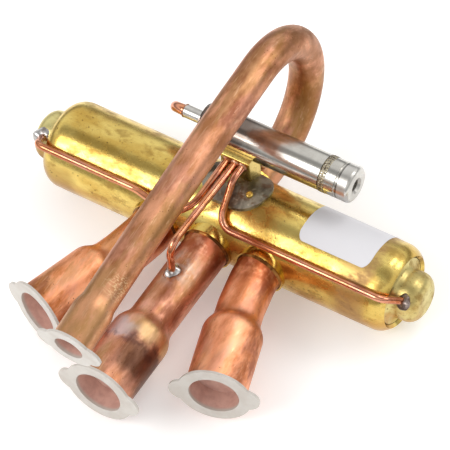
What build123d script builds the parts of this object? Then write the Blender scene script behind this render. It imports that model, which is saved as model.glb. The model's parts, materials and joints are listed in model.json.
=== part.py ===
"""Four way reversing valve for a heat pump, with its solenoid pilot valve.

Frame: the origin is on the body's axis at the middle port, +X runs along the
body towards the coil end of the pilot, the three ports leave towards -Y, the
discharge tube leaves towards +Y and loops over the top, and +Z is up.
"""
import os
from math import cos, degrees, radians, sin, sqrt, tan

from build123d import *

# ---- body tube and end caps ------------------------------------------------
body_od = 36.5
body_wall = 1.6
shoulder_r = 8.0            # rolled-in end of the body tube, outer radius
shoulder_turn = 50.0        # degrees that the end is rolled in
cap_wall = 2.2
boss_od = 20.8
boss_reach = 16.0           # boss tip beyond the start of the rolled end
boss_edge_r = 5.5
boss_root_r = 3.2           # hollow curve from the cap's shoulder to the boss
rim_gap = 0.3               # cap to the rolled end

# ---- ports -----------------------------------------------------------------
port_pitch = 24.3
stub_od = 19.05
stub_wall = 1.1
collar_wall = 1.2           # drawn neck round each tube
collar_rise = 0.9
socket_id = 22.35           # swaged to take a 7/8 in pipe
socket_len = 28.0
swage_len = 10.5
suction_reach = 97.5        # body axis to the mouth
coil_socket_len = 27.0
coil_swage_len = 9.5
coil_lead = 0.6             # straight beyond the neck before a coil tube bends
coil_run = 15.0             # sloping stretch before the second bend
coil_last_run = 3.5         # splayed stretch before the swage
coil_bend_r = 30.0
left_lean, left_splay = 13.4, 18.4
right_lean, right_splay = 11.5, 17.5
left_extra, right_extra = 1.5, 1.5

# ---- discharge tube --------------------------------------------------------
discharge_od = 14.29
discharge_wall = 1.0
discharge_socket_id = 14.4
discharge_socket_len = 15.5
discharge_swage_len = 6.5
loop_r = 30.7
loop_back = 29.5            # body axis to the centre of the loop
loop_fall = 4.0             # degrees by which the front leg slopes down as it leaves the loop
front_leg = 117.0           # end of the loop to the start of the swage
front_leg_bow = 1450.0      # radius of the front leg's gentle bow

# ---- main valve ------------------------------------------------------------
seat_flat = 6.5             # body axis to the face the slide runs on
seat_margin = 4.0
slide_lip = 2.6
slide_flange_t = 2.8
slide_dome_rise = 8.5
slide_wall = 2.4
frame_t = 1.2
frame_w = 24.0
frame_tab_h = 17.0
frame_tab_down = 4.0        # how far the bent-up tab reaches below the frame
frame_tab_in = 3.0          # tab narrower than the frame, each side
frame_tab_r = 2.0
frame_hole_d = 8.0          # gas passes through
frame_hole_in = 7.0         # its centre from the frame's end
spring_t = 0.4
spring_rise = 0.8
piston_gap = 0.7            # piston plate to bore, radial
piston_t = 3.0
seal_t = 0.9
seal_lip = 3.4
retainer_r = 12.6
retainer_t = 1.5
piston_screw_d = 3.0
piston_screw_head_d = 5.5
piston_screw_head_t = 1.8
piston_screw_pitch = 11.0
bleed_d = 0.8
bleed_y = -9.5              # the bleed hole is clear of the frame's tab

# ---- pilot valve -----------------------------------------------------------
pilot_y = 16.4
pilot_od = 15.2
pilot_wall = 0.7
pilot_left = -20.5
pilot_right = 44.6
pilot_end_r = 3.0
crimp_len = 8.4
crimp_depth = 0.35
core_head_len = 5.0
core_head_edge = 1.6
core_len = 18.0
coil_thread_d = 5.1         # tapping size of a 1/4 in thread
coil_thread_depth = 10.0
coil_thread_mouth_d = 7.0
ring_d, ring_w, ring_t = 9.4, 1.0, 1.2
plunger_len = 15.6
plunger_bore_d = 6.4
plunger_bore_depth = 9.0
pilot_spring_od = 5.4
pilot_spring_wire = 0.7
pilot_spring_turns = 6
block_w = 13.4
block_front = 5.6           # body axis to the block's front face
block_over_cap = 3.0        # capillaries' axis to the block's top
block_edge_r = 0.5
seat_depth = 3.2            # pilot axis to the little seat's face
seat_web = 1.2              # brass left between a capillary's end and the seat's face
cap_pitch = 3.5             # between the three capillaries
cap_height = 26.6           # body axis to the three capillaries as they leave the block
pilot_over_cap = 4.0        # capillaries' axis up to the pilot's
pilot_slide_lip = 1.1
pilot_slide_h = 2.4
pilot_slide_w = 3.8
carrier_t = 0.8
carrier_w = 4.6

# ---- capillaries -----------------------------------------------------------
cap_od = 3.0
cap_wall_t = 0.6
cap_bend_r = 6.5
cap_down_bend_r = 8.0
cap_stand_off = 2.3         # body skin to the centre of the capillary
cap_front_deg = 49.5        # forward of the top, where the side ones run
cap_first_run = 7.0         # straight out of the block before bending down
cap_entry_reach = 11.5      # end capillaries enter the boss this far past the roll
cap_turn_in = 5.5           # where the right one turns in, past the roll
cap_turn_in_left = 4.0      # where the left one turns in, short of its entry
cap_entry_bend_r = 4.5
left_swing_y, left_swing_z = -25.5, 21.0    # the left one swings wide before it runs along the body
left_swing_x = -34.0
cap_swing_r = 11.0
discharge_cap_od = 4.4
discharge_cap_wall = 0.8
discharge_cap_bend = 7.0
stub_steel_len = 8.5
stub_steel_wall = 0.5
stub_socket = 5.0           # how deep the discharge capillary goes into the steel stub
suction_tap_y = 40.6
suction_tap_x = -1.6

# ---- bracket and label -----------------------------------------------------
saddle_t = 1.5
saddle_left, saddle_right = -12.0, 16.6
saddle_front, saddle_back = -8.0, 14.2
saddle_corner_r = 10.4
rivet_d = 3.0
rivet_rise = 0.9
rivet_x, rivet_y = 10.1, -0.6
label_x, label_len = 51.8, 32.0
label_t = 0.12
label_front_deg, label_back_deg = 26.0, 90.0
label_corner_r = 2.8

# ---- transit plugs ---------------------------------------------------------
plug_wall = 1.0
plug_depth = 9.0
discharge_plug_depth = 7.0
plug_flange_t = 1.1
plug_flange_over = 2.6      # flange beyond the tube, radial
plug_ear = 3.4              # ears beyond the flange
plug_ear_w = 12.0

# ---- fits ------------------------------------------------------------------
slip = 0.05                 # radial clearance of what slides in a bore
rest_gap = 0.05             # between faces that only rest on each other
end_gap = 0.7               # left at each end of the main slide's stroke

# ---- worked out ------------------------------------------------------------
body_r = body_od / 2
bore_r = body_r - body_wall
stub_id = stub_od - 2 * stub_wall
stroke = port_pitch
rest_x = -stroke / 2        # the main slide rests at the left end
seat_half = port_pitch + stub_od / 2 + seat_margin
frame_half = stroke / 2 + seat_half + end_gap + frame_t
stack = piston_t + seal_t + max(seal_lip, retainer_t + piston_screw_head_t)
body_half = stroke / 2 + frame_half + stack + end_gap + 1.2
roll_r = body_r - shoulder_r
cap_face = body_half - 1.2
pilot_z = cap_height + pilot_over_cap
block_top = cap_height + block_over_cap
pilot_r = pilot_od / 2
pilot_ir = pilot_r - pilot_wall
pilot_travel = cap_pitch
block_left, block_right = -block_w / 2, block_w / 2
seat_face_y = pilot_y - seat_depth
plunger_left = block_right + 0.3
plunger_right = plunger_left + plunger_len
core_face = plunger_right + pilot_travel + 0.1
carrier_y = seat_face_y + rest_gap + pilot_slide_h


def ring(outer, inner):
    """Draw a ring on the sketch that is open."""
    Circle(outer)
    Circle(inner, mode=Mode.SUBTRACT)


def swaged_profile(start, direction, wall, r_in, r_socket, swage, length):
    """Half section of a tube end swaged out to a socket, drawn in the plane of its axis."""
    side = Vector(direction.Y, -direction.X, 0)
    if side.length < 0.5:
        side = Vector(1, 0, 0)
    plane = Plane(origin=start, x_dir=direction, z_dir=direction.cross(side))
    end = swage + length
    with BuildSketch(plane) as half:
        with BuildLine():
            Bezier((0, -r_in), (swage / 2, -r_in), (swage / 2, -r_socket), (swage, -r_socket))
            Polyline((swage, -r_socket), (end, -r_socket), (end, -r_socket - wall),
                     (swage, -r_socket - wall))
            Bezier((swage, -r_socket - wall), (swage / 2, -r_socket - wall),
                   (swage / 2, -r_in - wall), (0, -r_in - wall))
            Line((0, -r_in - wall), (0, -r_in))
        make_face()
    return half.sketch


def export(part, label):
    """Name a finished piece and write it."""
    part.label = label
    export_step(part, f"parts/{label}.step")


os.makedirs("parts", exist_ok=True)

# ---- body tube: drawn brass, both ends rolled in over the caps --------------


def rolled(radius, turn):
    """Point of the rolled end, turn degrees round from where the roll starts."""
    return (body_half + radius * sin(radians(turn)), roll_r + radius * cos(radians(turn)))


inner_roll = shoulder_r - body_wall
with BuildPart() as body_tube:
    with BuildSketch(Plane.XY):
        with BuildLine():
            outer_end, inner_end = rolled(shoulder_r, shoulder_turn), rolled(inner_roll, shoulder_turn)
            Line((0, body_r), (body_half, body_r))
            ThreePointArc((body_half, body_r), rolled(shoulder_r, shoulder_turn / 2), outer_end)
            Line(outer_end, inner_end)
            ThreePointArc(inner_end, rolled(inner_roll, shoulder_turn / 2), (body_half, bore_r))
            Polyline((body_half, bore_r), (0, bore_r), (0, body_r))
        make_face()
    revolve(axis=Axis.X)
    mirror(about=Plane.YZ)
    with BuildSketch(Plane.XZ):
        with GridLocations(port_pitch, 0, 3, 1):
            Circle(stub_od / 2 + collar_wall)
    extrude(amount=body_r + collar_rise)
    with BuildSketch(Plane.XZ):
        Circle(discharge_od / 2 + collar_wall)
    extrude(amount=-body_r - collar_rise)
    with BuildSketch(Plane.YZ.offset(-body_half)):
        Circle(bore_r)
    extrude(amount=2 * body_half, mode=Mode.SUBTRACT)
    with BuildSketch(Plane.XZ):
        with GridLocations(port_pitch, 0, 3, 1):
            Circle(stub_od / 2)
    extrude(amount=body_od, mode=Mode.SUBTRACT)
    with BuildSketch(Plane.XZ):
        Circle(discharge_od / 2)
    extrude(amount=-body_od, mode=Mode.SUBTRACT)
export(body_tube.part, "body_tube")

# ---- capillary routes, needed by the caps and tubes that they enter ---------
cap_r = cap_od / 2
run_r = body_r + cap_stand_off
run_y, run_z = -run_r * sin(radians(cap_front_deg)), run_r * cos(radians(cap_front_deg))
entry_x = body_half + cap_entry_reach
entry_r = boss_od / 2 - cap_wall / 2
entry_y = -entry_r * sin(radians(cap_front_deg))
entry_z = entry_r * cos(radians(cap_front_deg))
block_in = seat_face_y - seat_web
bend_y = block_front - cap_first_run

right_route = [
    (cap_pitch, block_in, cap_height), (cap_pitch, bend_y, cap_height),
    (cap_pitch + 0.8, run_y, run_z), (body_half + cap_turn_in, run_y, run_z),
    (entry_x, entry_y, entry_z),
]
left_route = [
    (-cap_pitch, block_in, cap_height), (-cap_pitch, bend_y, cap_height),
    (-cap_pitch - 2.5, left_swing_y, left_swing_z), (left_swing_x, run_y, run_z),
    (-entry_x + cap_turn_in_left, run_y, run_z),
    (-entry_x, entry_y, entry_z),
]
tap_z = sqrt((stub_od / 2) ** 2 - suction_tap_x ** 2) - stub_wall / 2
suction_route = [
    (0, block_in, cap_height), (0, bend_y, cap_height),
    (suction_tap_x, -suction_tap_y, cap_height - 2.0), (suction_tap_x, -suction_tap_y, tap_z),
]
away_y, away_z = 0.52 * 2 * discharge_cap_bend, -0.853 * 2 * discharge_cap_bend
turn_x = pilot_left - stub_steel_len - discharge_cap_bend
back_y, back_z = pilot_y + away_y, pilot_z + away_z
discharge_route = [
    (pilot_left - stub_steel_len + stub_socket, pilot_y, pilot_z), (turn_x, pilot_y, pilot_z),
    (turn_x, back_y, back_z), (0, back_y, back_z), (0, back_y, discharge_od / 2 - discharge_wall / 2),
]


def capillary(route, radii, od, wall):
    """A drawn copper capillary bent along its route, open at both ends."""
    with BuildPart() as tube:
        with BuildLine() as path:
            FilletPolyline(*route, radius=radii)
        with BuildSketch(Plane(origin=path.line @ 0, z_dir=path.line % 0)):
            ring(od / 2, od / 2 - wall)
        sweep(path=path.wires()[0])
    return tube.part


def last_hole(route, od):
    """A round cutter along the last run of a route, past its end."""
    start, end = Vector(*route[-2]), Vector(*route[-1])
    along = (end - start).normalized()
    with BuildPart() as cutter:
        with BuildSketch(Plane(origin=end - along * 4 * od, z_dir=along)):
            Circle(od / 2)
        extrude(amount=5 * od)
    return cutter.part


export(capillary(left_route, [cap_down_bend_r, cap_swing_r, cap_swing_r, cap_entry_bend_r], cap_od, cap_wall_t),
       "capillary_left")
export(capillary(right_route, [cap_down_bend_r, cap_bend_r, cap_entry_bend_r], cap_od, cap_wall_t),
       "capillary_right")
export(capillary(suction_route, [cap_bend_r, cap_bend_r], cap_od, cap_wall_t), "capillary_suction")
export(capillary(discharge_route, [discharge_cap_bend * 0.98] * 2 + [discharge_cap_bend * 0.8],
                 discharge_cap_od, discharge_cap_wall), "capillary_discharge")

# ---- end caps: pressed brass, with the hollow boss standing out -------------
boss_r = boss_od / 2
boss_tip = body_half + boss_reach
rim_x = body_half + inner_roll * sin(radians(shoulder_turn))
rim_r = roll_r + inner_roll * cos(radians(shoulder_turn)) - rim_gap
root_r = min(boss_root_r, rim_r - boss_r - 0.1)    # the flare ends inside the cap's face


def end_cap(side, route):
    """One cap, revolved about the body's axis and drilled for its capillary."""
    with BuildPart() as cap:
        with BuildSketch(Plane.XY) as section:
            with BuildLine():
                Polyline((cap_face, 0), (cap_face, bore_r), (body_half, bore_r), (rim_x, rim_r),
                         (rim_x, boss_r), (boss_tip, boss_r), (boss_tip, 0), (cap_face, 0))
            make_face()
            corner = section.vertices().sort_by(Axis.X)[-2:].sort_by(Axis.Y)[-1]
            fillet(corner, radius=boss_edge_r)
            fillet(section.vertices().sort_by_distance((rim_x, boss_r, 0))[0], radius=root_r)
        revolve(axis=Axis.X)
        with BuildSketch(Plane.XY) as hollow:
            with BuildLine():
                Polyline((cap_face, 0), (cap_face, boss_r - cap_wall + 1.5),
                         (cap_face + 1.5, boss_r - cap_wall), (boss_tip - cap_wall, boss_r - cap_wall),
                         (boss_tip - cap_wall, 0), (cap_face, 0))
            make_face()
            corner = hollow.vertices().sort_by(Axis.X)[-2:].sort_by(Axis.Y)[-1]
            fillet(corner, radius=boss_edge_r - cap_wall)
        revolve(axis=Axis.X, mode=Mode.SUBTRACT)
        if side < 0:
            mirror(about=Plane.YZ, mode=Mode.REPLACE)
        add(last_hole(route, cap_od), mode=Mode.SUBTRACT)
    return cap.part


export(end_cap(-1, left_route), "end_cap_left")
export(end_cap(1, right_route), "end_cap_right")

# ---- tubes: drawn copper, brazed in the body's necks, ends swaged -----------
seat_socket = sqrt(bore_r ** 2 - (stub_od / 2) ** 2) - 1.5   # how deep the stubs go in
seat_socket = max(seat_socket, seat_flat + 2.0)


def swaged_tube(points, bend, od, wall, r_socket, swage, length):
    """A tube along a plane route, its last end swaged out to a socket."""
    end = Vector(*points[-1])
    along = (end - Vector(*points[-2])).normalized()
    with BuildPart() as tube:
        with BuildLine() as path:
            if len(points) > 2:
                FilletPolyline(*points, radius=bend)
            else:
                Line(*points)
        with BuildSketch(Plane(origin=path.line @ 0, z_dir=path.line % 0)):
            ring(od / 2, od / 2 - wall)
        sweep(path=path.wires()[0])
        add(swaged_profile(end, along, wall, od / 2 - wall, r_socket, swage, length))
        revolve(axis=Axis(end, along))
    return tube.part


def coil_route(side, lean, splay, extra):
    """Centre line of a coil tube: square out of the body, then leaning and splaying outwards."""
    lead = body_r + collar_rise + coil_lead + coil_bend_r * tan(radians(lean / 2))
    points = [Vector(side * port_pitch, -seat_socket, 0), Vector(side * port_pitch, -lead, 0)]
    for turn, run in ((lean, coil_run), (splay, coil_last_run)):
        points.append(points[-1] + Vector(side * sin(radians(turn)), -cos(radians(turn)), 0) * run)
    points[-1] += Vector(side * sin(radians(splay)), -cos(radians(splay)), 0) * extra
    return [tuple(p) for p in points]


def mouth(points, swage, length):
    """Centre of a tube's mouth and the direction out of it."""
    end = Vector(*points[-1])
    along = (end - Vector(*points[-2])).normalized()
    return end + along * (swage + length), along


socket_r = socket_id / 2
suction_route_line = [(0, -seat_socket, 0), (0, -suction_reach + socket_len + swage_len, 0)]
left_line = coil_route(-1, left_lean, left_splay, left_extra)
right_line = coil_route(1, right_lean, right_splay, right_extra)

suction = swaged_tube(suction_route_line, 0, stub_od, stub_wall, socket_r, swage_len, socket_len)
with BuildPart() as suction_tube:
    add(suction)
    add(last_hole(suction_route, cap_od), mode=Mode.SUBTRACT)
export(suction_tube.part, "suction_tube")
export(swaged_tube(left_line, coil_bend_r, stub_od, stub_wall, socket_r, coil_swage_len,
                   coil_socket_len), "coil_tube_left")
export(swaged_tube(right_line, coil_bend_r, stub_od, stub_wall, socket_r, coil_swage_len,
                   coil_socket_len), "coil_tube_right")

fall = radians(loop_fall)
bow = front_leg / front_leg_bow
leg_y, leg_z = loop_back - loop_r * sin(fall), loop_r + loop_r * cos(fall)
discharge_end = Vector(0, leg_y - front_leg_bow * (sin(fall + bow) - sin(fall)),
                       leg_z + front_leg_bow * (cos(fall + bow) - cos(fall)))
discharge_along = Vector(0, -cos(fall + bow), -sin(fall + bow))
with BuildPart() as discharge_tube:
    with BuildLine(Plane.YZ) as path:
        Line((bore_r - 1.0, 0), (loop_back, 0))
        CenterArc((loop_back, loop_r), loop_r, -90, 180 + loop_fall)
        JernArc((leg_y, leg_z), (-cos(fall), -sin(fall)), front_leg_bow, degrees(bow))
    with BuildSketch(Plane.XZ.offset(-bore_r + 1.0)):
        ring(discharge_od / 2, discharge_od / 2 - discharge_wall)
    sweep(path=path.wires()[0])
    add(swaged_profile(discharge_end, discharge_along, discharge_wall,
                       discharge_od / 2 - discharge_wall, discharge_socket_id / 2,
                       discharge_swage_len, discharge_socket_len))
    revolve(axis=Axis(discharge_end, discharge_along))
    add(last_hole(discharge_route, discharge_cap_od), mode=Mode.SUBTRACT)
export(discharge_tube.part, "discharge_tube")
discharge_mouth = discharge_end + discharge_along * (discharge_swage_len + discharge_socket_len)

# ---- valve seat: a brass segment brazed against the ports -------------------
with BuildPart() as valve_seat:
    with BuildSketch(Plane.YZ.offset(-seat_half)):
        Circle(bore_r)
        with Locations((bore_r - seat_flat, 0)):
            Rectangle(2 * bore_r, 2 * bore_r, mode=Mode.SUBTRACT)
    extrude(amount=2 * seat_half)
    with BuildSketch(Plane.XZ):
        with GridLocations(port_pitch, 0, 3, 1):
            Circle(stub_id / 2)
    extrude(amount=body_r, mode=Mode.SUBTRACT)
    with BuildSketch(Plane.XZ.offset(seat_socket)):
        with GridLocations(port_pitch, 0, 3, 1):
            Circle(stub_od / 2)
    extrude(amount=body_r, mode=Mode.SUBTRACT)
    chamfer(valve_seat.edges().filter_by(Axis.Z).group_by(Axis.Y)[-1], length=1.2)
export(valve_seat.part, "valve_seat")

# ---- main slide: moulded plastic dome that joins two of the three ports -----
slide_y = -seat_flat + rest_gap
pocket_l, pocket_w = port_pitch + stub_id, stub_id
with BuildPart() as main_slide:
    with BuildSketch(Plane.XZ.offset(-slide_y)):
        with Locations((rest_x, 0)):
            RectangleRounded(pocket_l + 2 * slide_lip, pocket_w + 2 * slide_lip, 4.0)
    extrude(amount=-slide_flange_t)
    with BuildSketch(Plane.XZ.offset(-slide_y - slide_flange_t)):
        with Locations((rest_x, 0)):
            SlotOverall(pocket_l + 0.5, pocket_w + 0.5)
    extrude(amount=-slide_dome_rise)
    fillet(main_slide.faces().sort_by(Axis.Y)[-1].edges(), radius=4.0)
    with BuildSketch(Plane.XZ.offset(-slide_y)):
        with Locations((rest_x, 0)):
            SlotOverall(pocket_l - 2 * slide_wall, pocket_w - 2 * slide_wall)
    extrude(amount=-slide_flange_t - slide_dome_rise + slide_wall, mode=Mode.SUBTRACT)
export(main_slide.part, "main_slide")

# ---- slide frame: a pressed steel strip that ties the pistons together ------
frame_y = slide_y + slide_flange_t + spring_t + spring_rise
tab_x = frame_half - frame_t
screw_y = frame_y + frame_t + piston_screw_d / 2 + 1.2
screw_spots = [(screw_y, piston_screw_pitch / 2), (screw_y, -piston_screw_pitch / 2)]
with BuildPart() as slide_frame:
    with BuildSketch(Plane.XZ.offset(-frame_y)):
        with Locations((rest_x, 0)):
            Rectangle(2 * frame_half, frame_w)
            SlotOverall(pocket_l + 1.0, pocket_w + 1.0, mode=Mode.SUBTRACT)
            with GridLocations(2 * (frame_half - frame_hole_in), 0, 2, 1):
                Circle(frame_hole_d / 2, mode=Mode.SUBTRACT)
    extrude(amount=-frame_t)
    for side in (-1, 1):
        with BuildSketch(Plane.YZ.offset(rest_x + side * (tab_x + frame_t / 2) - frame_t / 2)):
            with Locations((frame_y + frame_tab_h / 2 - frame_tab_down, 0)):
                RectangleRounded(frame_tab_h, frame_w - 2 * frame_tab_in, frame_tab_r)
            with Locations(*screw_spots):
                Circle(piston_screw_d / 2, mode=Mode.SUBTRACT)
        extrude(amount=frame_t)
export(slide_frame.part, "slide_frame")

# ---- slide spring: a bowed steel leaf between the slide and its frame --------
with BuildPart() as slide_spring:
    half = pocket_l / 2 + 1.5
    with BuildSketch(Plane.XY.offset(-frame_w / 2 + 1.0)):
        with BuildLine():
            low, high = frame_y - spring_t - spring_rise, frame_y
            ThreePointArc((rest_x - half, low), (rest_x, high - spring_t), (rest_x + half, low))
            Line((rest_x + half, low), (rest_x + half, low + spring_t))
            ThreePointArc((rest_x + half, low + spring_t), (rest_x, high), (rest_x - half, low + spring_t))
            Line((rest_x - half, low + spring_t), (rest_x - half, low))
        make_face()
    extrude(amount=frame_w - 2.0)
    with BuildSketch(Plane.XZ.offset(body_r)):
        with Locations((rest_x, 0)):
            SlotOverall(pocket_l + 0.8, pocket_w + 0.8)
    extrude(amount=-body_od, mode=Mode.SUBTRACT)
export(slide_spring.part, "slide_spring")

# ---- pistons: plate, cup seal and retainer, screwed to the frame's tabs ------


def disc(at, radius, thickness, side):
    """A disc across the body from x = at, growing away from the middle."""
    with BuildSketch(Plane.YZ.offset(at)) as face:
        Circle(radius)
        with Locations(*screw_spots):
            Circle(piston_screw_d / 2, mode=Mode.SUBTRACT)
        with Locations((bleed_y, 0)):
            Circle(bleed_d / 2, mode=Mode.SUBTRACT)
    extrude(face.sketch, amount=side * thickness)


with BuildPart() as screws:
    for side in (-1, 1):
        face = rest_x + side * (frame_half + piston_t + seal_t + retainer_t)
        with BuildSketch(Plane.YZ.offset(face)):
            with Locations(*screw_spots):
                Circle(piston_screw_head_d / 2)
        extrude(amount=side * piston_screw_head_t)
        with BuildSketch(Plane.YZ.offset(face)):
            with Locations(*screw_spots):
                Circle(piston_screw_d / 2)
        extrude(amount=-side * (piston_t + seal_t + retainer_t + frame_t + 0.6))
export(screws.part, "piston_screws")

for side, name in ((-1, "left"), (1, "right")):
    plate_x = rest_x + side * frame_half
    with BuildPart() as piston_plate:
        disc(plate_x, bore_r - piston_gap, piston_t, side)
    export(piston_plate.part, f"piston_plate_{name}")
    seal_x = plate_x + side * piston_t
    with BuildPart() as piston_seal:
        disc(seal_x, bore_r - slip, seal_t, side)
        with BuildSketch(Plane.YZ.offset(seal_x + side * seal_t)):
            ring(bore_r - slip, bore_r - slip - seal_t)
        extrude(amount=side * seal_lip)
    export(piston_seal.part, f"piston_seal_{name}")
    with BuildPart() as piston_retainer:
        disc(seal_x + side * seal_t, retainer_r, retainer_t, side)
    export(piston_retainer.part, f"piston_retainer_{name}")

# ---- pilot tube: thin stainless tube, closed at the left, crimped at the right
pilot_axis = Axis((0, pilot_y, pilot_z), (1, 0, 0))
pilot_plane = Plane(origin=(0, pilot_y, pilot_z), x_dir=(1, 0, 0), z_dir=(0, -1, 0))
with BuildPart() as seat_block:
    with BuildSketch(Plane.XY.offset(pilot_z - pilot_od)):
        with Locations((0, (block_front + seat_face_y) / 2)):
            Rectangle(block_w, seat_face_y - block_front)
    extrude(amount=block_top - pilot_z + pilot_od)
    fillet(seat_block.edges().group_by(Axis.Y)[0], radius=block_edge_r)
    with BuildSketch(Plane.YZ.offset(-block_w)):
        Circle(body_r + saddle_t)
    extrude(amount=2 * block_w, mode=Mode.SUBTRACT)
block_solid = seat_block.part

with BuildPart() as pilot_tube:
    with BuildSketch(pilot_plane) as wall:
        with BuildLine():
            Polyline((pilot_left, 0), (pilot_left, pilot_r), (pilot_right, pilot_r),
                     (pilot_right, pilot_ir), (pilot_left + pilot_wall, pilot_ir),
                     (pilot_left + pilot_wall, 0), (pilot_left, 0))
        make_face()
        fillet(wall.vertices().sort_by_distance((pilot_left, pilot_r, 0))[0], radius=pilot_end_r)
    revolve(axis=pilot_axis)
    with BuildSketch(Plane.YZ.offset(pilot_left - 1.0)):
        with Locations((pilot_y, pilot_z)):
            Circle(discharge_cap_od / 2)
    extrude(amount=pilot_wall + 3.0, mode=Mode.SUBTRACT)
    add(block_solid, mode=Mode.SUBTRACT)
    for at in (pilot_right - crimp_len, pilot_right - 1.2):
        with BuildSketch(pilot_plane) as groove:
            with Locations((at, pilot_r)):
                Circle(crimp_depth)
        revolve(axis=pilot_axis, mode=Mode.SUBTRACT)
export(pilot_tube.part, "pilot_tube")

# ---- pilot core: turned steel plug, welded into the tube, tapped for the coil
core_r = pilot_ir
core_tip = pilot_right + core_head_len
with BuildPart() as pilot_core:
    with BuildSketch(pilot_plane) as section:
        with BuildLine():
            Polyline((core_face, 0), (core_face, core_r), (pilot_right, core_r), (pilot_right, pilot_r),
                     (core_tip, pilot_r), (core_tip, 0), (core_face, 0))
        make_face()
        fillet(section.vertices().sort_by_distance((core_tip, pilot_r, 0))[0], radius=core_head_edge)
    revolve(axis=pilot_axis)
    bore_in = (coil_thread_mouth_d - coil_thread_d) / 2
    with BuildSketch(pilot_plane):
        with BuildLine():
            Polyline((core_tip, 0), (core_tip, coil_thread_mouth_d / 2),
                     (core_tip - bore_in, coil_thread_d / 2),
                     (core_tip - coil_thread_depth, coil_thread_d / 2),
                     (core_tip - coil_thread_depth - coil_thread_d / 4, 0), (core_tip, 0))
        make_face()
    revolve(axis=pilot_axis, mode=Mode.SUBTRACT)
    with BuildSketch(Plane.YZ.offset(core_face)):
        with Locations((pilot_y, pilot_z)):
            ring(ring_d / 2, ring_d / 2 - ring_w)
    extrude(amount=ring_t, mode=Mode.SUBTRACT)
export(pilot_core.part, "pilot_core")

with BuildPart() as shading_ring:
    with BuildSketch(Plane.YZ.offset(core_face)):
        with Locations((pilot_y, pilot_z)):
            ring(ring_d / 2, ring_d / 2 - ring_w)
    extrude(amount=ring_t)
export(shading_ring.part, "pilot_shading_ring")

# ---- pilot plunger: slides in the tube against its spring -------------------
with BuildPart() as plunger:
    with BuildSketch(Plane.YZ.offset(plunger_left)):
        with Locations((pilot_y, pilot_z)):
            Circle(pilot_ir - slip)
    extrude(amount=plunger_len)
    with BuildSketch(Plane.YZ.offset(plunger_right)):
        with Locations((pilot_y, pilot_z)):
            Circle(plunger_bore_d / 2)
    extrude(amount=-plunger_bore_depth, mode=Mode.SUBTRACT)
    chamfer(plunger.edges().filter_by(GeomType.CIRCLE).group_by(Axis.X)[-1], length=0.5)
    with BuildSketch(Plane.YZ.offset(plunger_left)):
        with Locations((carrier_y + carrier_t / 2, cap_height)):
            Rectangle(carrier_t, carrier_w)
    extrude(amount=3.0, mode=Mode.SUBTRACT)
export(plunger.part, "pilot_plunger")

# ---- pilot spring: a coil of round wire between plunger and core -------------
spring_left = plunger_right - plunger_bore_depth
spring_len = core_face - spring_left
spring_r = (pilot_spring_od - pilot_spring_wire) / 2
pitch = (spring_len - pilot_spring_wire) / pilot_spring_turns
start = (spring_left + pilot_spring_wire / 2, pilot_y, pilot_z)
with BuildPart() as pilot_spring:
    with BuildLine() as coil:
        Helix(pitch, spring_len - pilot_spring_wire, spring_r, center=start, direction=(1, 0, 0))
    with BuildSketch(Plane(origin=coil.line @ 0, z_dir=coil.line % 0)):
        RegularPolygon(pilot_spring_wire / 2, 8)
    sweep(path=coil.wires()[0], is_frenet=True)
export(pilot_spring.part, "pilot_spring")

# ---- pilot seat: brass block brazed into the tube, drilled for the capillaries
with BuildPart() as pilot_seat:
    add(block_solid)
    with BuildSketch(Plane.XZ.offset(-seat_face_y)):
        with Locations((0, cap_height)):
            with GridLocations(cap_pitch, 0, 3, 1):
                Circle(cap_od / 2 - cap_wall_t)
    extrude(amount=pilot_od, mode=Mode.SUBTRACT)
    with BuildSketch(Plane.XZ.offset(-seat_face_y + seat_web)):
        with Locations((0, cap_height)):
            with GridLocations(cap_pitch, 0, 3, 1):
                Circle(cap_od / 2)
    extrude(amount=pilot_od, mode=Mode.SUBTRACT)
export(pilot_seat.part, "pilot_seat")

# ---- pilot slide and the strip that carries it with the plunger --------------
slide_x = -cap_pitch / 2
pilot_port_d = cap_od - 2 * cap_wall_t
with BuildPart() as pilot_slide:
    with BuildSketch(Plane.XZ.offset(-seat_face_y - rest_gap)):
        with Locations((slide_x, cap_height)):
            RectangleRounded(cap_pitch + pilot_port_d + 2 * pilot_slide_lip, pilot_slide_w, 0.8)
    extrude(amount=-pilot_slide_h)
    with BuildSketch(Plane.XZ.offset(-seat_face_y - rest_gap)):
        with Locations((slide_x, cap_height)):
            SlotOverall(cap_pitch + pilot_port_d, pilot_port_d)
    extrude(amount=-pilot_slide_h + 1.0, mode=Mode.SUBTRACT)
    with BuildSketch(Plane.XZ.offset(-seat_face_y - rest_gap - pilot_slide_h)):
        with Locations((slide_x, cap_height)):
            Circle(pilot_port_d / 2)
    extrude(amount=-carrier_t)
export(pilot_slide.part, "pilot_slide")

carrier_left = slide_x - cap_pitch
carrier_right = plunger_left + 3.0
with BuildPart() as pilot_carrier:
    with BuildSketch(Plane.XZ.offset(-carrier_y)):
        with Locations(((carrier_left + carrier_right) / 2, cap_height)):
            Rectangle(carrier_right - carrier_left, carrier_w)
        with Locations((slide_x, cap_height)):
            Circle(pilot_port_d / 2, mode=Mode.SUBTRACT)
    extrude(amount=-carrier_t)
export(pilot_carrier.part, "pilot_carrier")

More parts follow.
